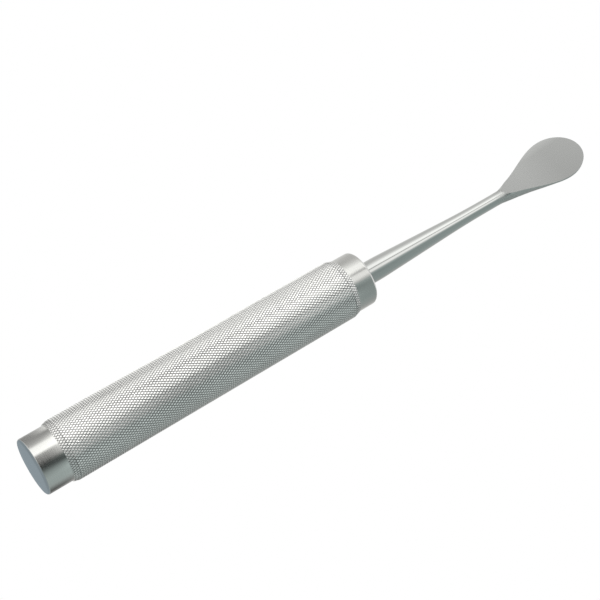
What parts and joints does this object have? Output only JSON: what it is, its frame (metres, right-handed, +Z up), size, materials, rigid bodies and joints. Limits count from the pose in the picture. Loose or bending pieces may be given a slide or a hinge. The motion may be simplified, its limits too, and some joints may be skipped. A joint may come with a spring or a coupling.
{
  "type": "spinal elevator",
  "caption": "Surgical spinal elevator: round knurled handle with smooth ends, and a tapered shank ending in a spoon-shaped blade with a ground, slightly hollow face.",
  "frame": {"origin": "centre of the handle's flat butt face, on the handle's axis", "axes": "+Z up along the handle's axis from the butt towards the blade's tip, -Y out of the blade's ground face"},
  "size_m": [0.0262, 0.0262, 0.28],
  "materials": {
    "handle_steel": "diamond knurled grip between turned and polished ends",
    "blade_steel": "polished shank and back, satin ground face"
  },
  "bodies": {
    "root": {"handle": "handle_steel", "blade": "blade_steel"}
  },
  "joints": []
}
